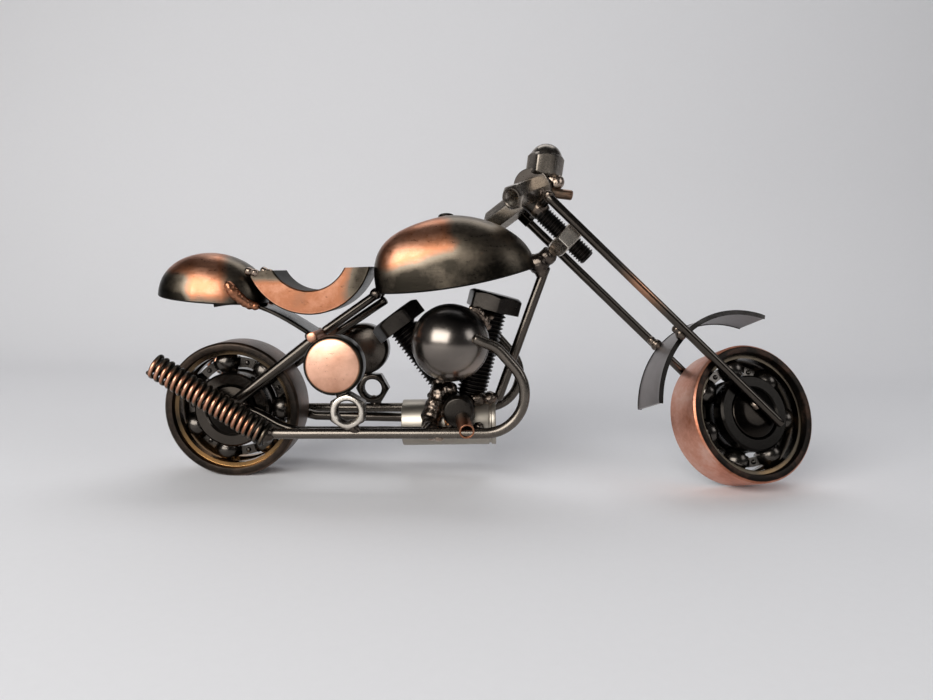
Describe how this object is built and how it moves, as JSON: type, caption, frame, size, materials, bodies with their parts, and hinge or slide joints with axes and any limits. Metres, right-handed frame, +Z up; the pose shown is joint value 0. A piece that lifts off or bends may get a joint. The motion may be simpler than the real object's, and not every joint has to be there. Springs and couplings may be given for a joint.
{
  "type": "scrap metal chopper figurine",
  "caption": "Small chopper motorcycle figurine welded from bearings, bolts, nuts, springs, rod and pressed shells; its wheels roll and its fork steers.",
  "frame": {"origin": "point on the ground under the rear axle, in the middle plane of the frame", "axes": "+X forward, +Y to the rider's left, +Z up"},
  "size_m": [0.1063, 0.0254, 0.0542],
  "materials": {
    "dark_plated": "black nickel plating over steel, polished and worn",
    "bright_plated": "nickel plating over steel, satin",
    "copper_plated": "antique copper plating over steel, brushed, dark in the hollows",
    "ball_steel": "polished dark steel",
    "weld_metal": "lumpy weld metal, plated, rusty in places"
  },
  "bodies": {
    "frame": {"rear_hub": "dark_plated", "rear_inner_ring": "dark_plated", "right_stay": "dark_plated", "left_stay": "dark_plated", "right_strut": "dark_plated", "left_strut": "dark_plated", "cross_peg": "copper_plated", "right_rail": "dark_plated", "left_rail": "dark_plated", "crankcase": "bright_plated", "back_cylinder": "dark_plated", "front_cylinder": "dark_plated", "right_engine_ball": "ball_steel", "left_engine_ball": "ball_steel", "stub_bolt": "dark_plated", "breather_tube": "copper_plated", "right_disc": "copper_plated", "left_disc": "dark_plated", "right_nut": "bright_plated", "left_nut": "dark_plated", "right_exhaust": "dark_plated", "left_exhaust": "dark_plated", "right_muffler": "copper_plated", "left_muffler": "copper_plated", "seat": "copper_plated", "seat_strip": "dark_plated", "rear_cowl": "copper_plated", "tank": "copper_plated", "tank_floor": "dark_plated", "filler_cap": "dark_plated", "down_tube": "dark_plated", "head_nut": "bright_plated", "engine_welds": "weld_metal", "frame_welds": "weld_metal"},
    "rear_wheel": {"rear_outer_ring": "dark_plated"},
    "rear_ball_set": {"rear_cage": "dark_plated", "rear_balls": "ball_steel"},
    "fork": {"steering_bolt": "dark_plated", "crown_bar": "dark_plated", "right_fork_rod": "dark_plated", "left_fork_rod": "dark_plated", "left_collar": "dark_plated", "fender": "dark_plated", "front_hub": "dark_plated", "front_inner_ring": "dark_plated", "right_grip": "bright_plated", "left_grip": "bright_plated", "grip_washer": "dark_plated", "lamp_nut": "bright_plated", "lamp_stem": "weld_metal", "lever": "copper_plated", "fork_welds": "weld_metal"},
    "front_wheel": {"front_outer_ring": "copper_plated"},
    "front_ball_set": {"front_cage": "dark_plated", "front_balls": "ball_steel"}
  },
  "joints": [
    {"name": "steering", "type": "hinge", "parent": "frame", "child": "fork", "pos_m": [0.0507, 0, 0.042], "axis": [-0.7361, 0, 0.6769], "range_deg": [-55, 4]},
    {"name": "rear_wheel_spin", "type": "hinge", "parent": "frame", "child": "rear_wheel", "pos_m": [0, 0, 0.011], "axis": [0, 1, 0], "continuous": true},
    {"name": "rear_ball_spin", "type": "hinge", "parent": "frame", "child": "rear_ball_set", "pos_m": [0, 0, 0.011], "axis": [0, 1, 0], "continuous": true},
    {"name": "front_wheel_spin", "type": "hinge", "parent": "fork", "child": "front_wheel", "pos_m": [0.08238, -0.00055, 0.01142], "axis": [-0.3104, 0.8886, -0.3376], "continuous": true},
    {"name": "front_ball_spin", "type": "hinge", "parent": "fork", "child": "front_ball_set", "pos_m": [0.08238, -0.00055, 0.01142], "axis": [-0.3104, 0.8886, -0.3376], "continuous": true}
  ],
  "couplings": [
    {"joint": "rear_ball_spin", "follows": "rear_wheel_spin", "ratio": 0.63},
    {"joint": "front_ball_spin", "follows": "front_wheel_spin", "ratio": 0.63}
  ]
}
